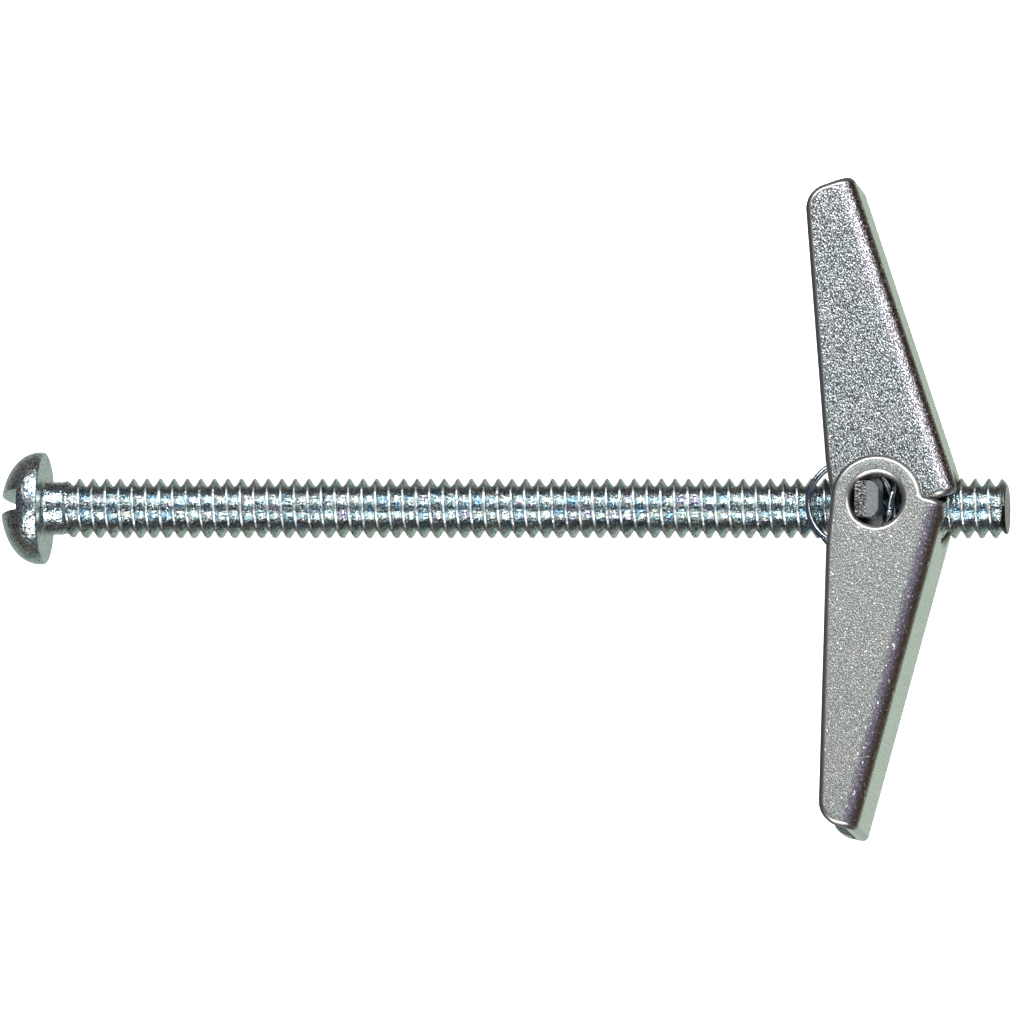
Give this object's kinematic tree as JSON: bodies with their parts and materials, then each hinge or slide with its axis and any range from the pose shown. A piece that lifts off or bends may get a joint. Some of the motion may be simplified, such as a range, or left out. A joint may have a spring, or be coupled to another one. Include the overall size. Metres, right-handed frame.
{
  "type": "spring toggle bolt",
  "caption": "Long slotted round-head machine screw with a trunnion nut and spring-opened channel wings that clamp a fixture to a hollow wall.",
  "frame": {"origin": "centre of the flat bearing face under the screw's head, on the screw's axis", "axes": "+X along the screw from head to tip, +Y along the upper wing as it stands open, +Z along the wings' pivot; the object lies on its -Z side"},
  "size_m": [0.0783, 0.0509, 0.0106],
  "materials": {
    "screw_zinc": "bright zinc plate",
    "nut_zinc": "dull zinc plate",
    "upper_wing_zinc": "coarse matt zinc plate",
    "lower_wing_zinc": "coarse matt zinc plate",
    "spring_wire": "drawn spring wire"
  },
  "bodies": {
    "screw": {"screw": "screw_zinc"},
    "nut": {"trunnion_nut": "nut_zinc", "torsion_spring": "spring_wire"},
    "upper_wing": {"upper_wing": "upper_wing_zinc"},
    "lower_wing": {"lower_wing": "lower_wing_zinc"}
  },
  "joints": [
    {"name": "nut_travel", "type": "slide", "parent": "screw", "child": "nut", "axis": [1, 0, 0], "range_m": [-0.037, 0.013]},
    {"name": "upper_wing_fold", "type": "hinge", "parent": "nut", "child": "upper_wing", "pos_m": [0.06543, 0, 0], "axis": [0, 0, 1], "range_deg": [0, 76], "stiffness_Nm_per_rad": 0.03, "springref_deg": -45.84, "deforming": ["torsion_spring"]},
    {"name": "lower_wing_fold", "type": "hinge", "parent": "nut", "child": "lower_wing", "pos_m": [0.06543, 0, 0], "axis": [0, 0, -1], "range_deg": [0, 79], "stiffness_Nm_per_rad": 0.03, "springref_deg": -45.84, "deforming": ["torsion_spring"]}
  ]
}
